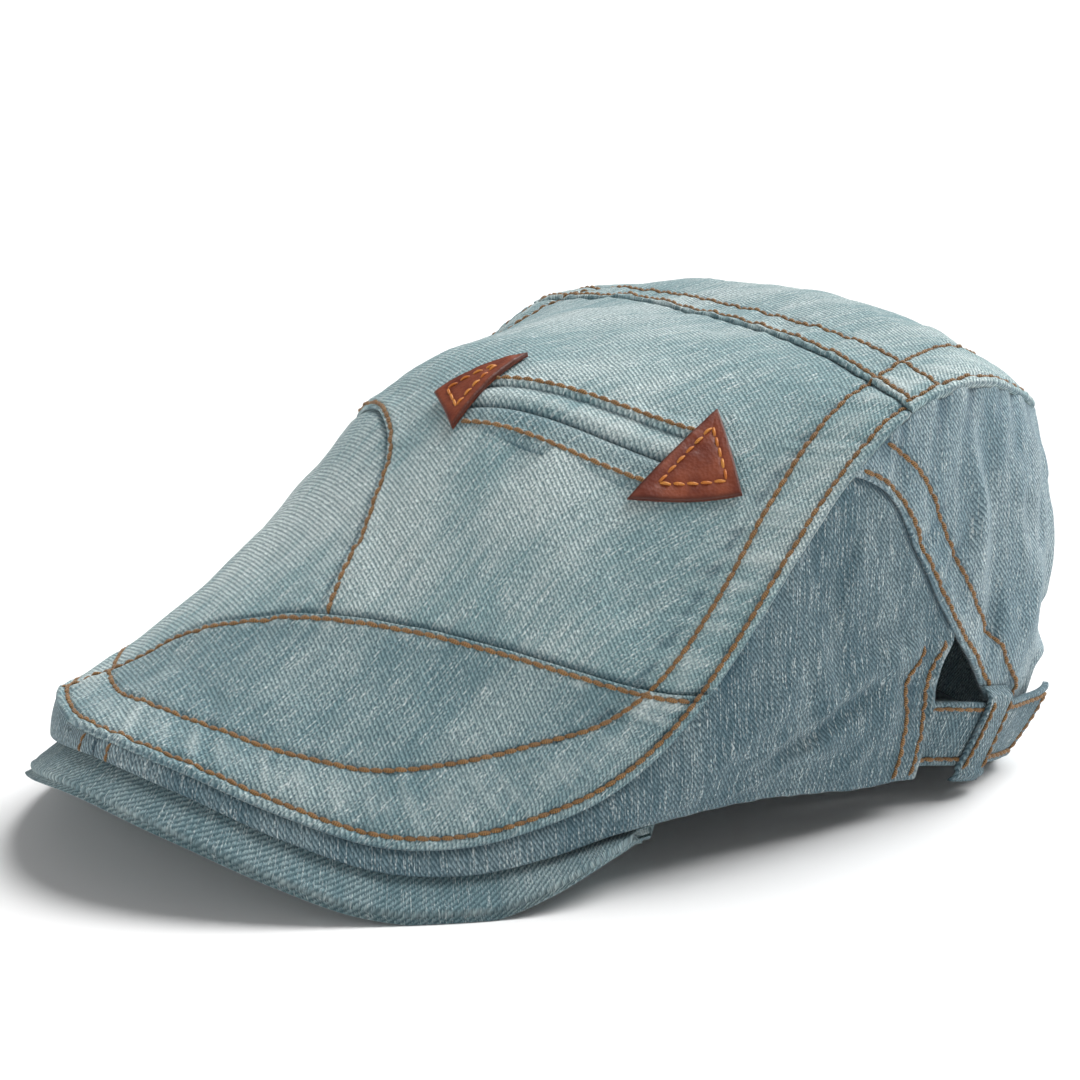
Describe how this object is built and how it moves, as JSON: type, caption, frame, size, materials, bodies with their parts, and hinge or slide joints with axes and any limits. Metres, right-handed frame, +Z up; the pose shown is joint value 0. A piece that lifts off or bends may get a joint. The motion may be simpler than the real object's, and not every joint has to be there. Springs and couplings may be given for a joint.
{
  "type": "flat cap",
  "caption": "Flat cap of washed denim with a short curved brim, a welt pocket with leather corners and an adjusting strap at the back.",
  "frame": {"origin": "middle of the cap's bounding box, on the surface it lies on", "axes": "+Z up, nose towards -Y, wearer's left towards +X"},
  "size_m": [0.1862, 0.2848, 0.123],
  "materials": {
    "denim": "washed teal-grey cotton twill, worn pale on the seam ridges",
    "leather": "smooth brown leather, soft sheen"
  },
  "bodies": {
    "root": {"brim": "denim", "front_panel": "denim", "gusset_panel": "denim", "top_panel": "denim", "rear_top_panel": "denim", "side_panel_left": "denim", "side_panel_right": "denim", "back_panel": "denim", "pocket_upper_welt": "denim", "pocket_lower_welt": "denim", "leather_tab_left": "leather", "leather_tab_right": "leather", "strap": "denim", "strap_loop": "denim"}
  },
  "joints": []
}
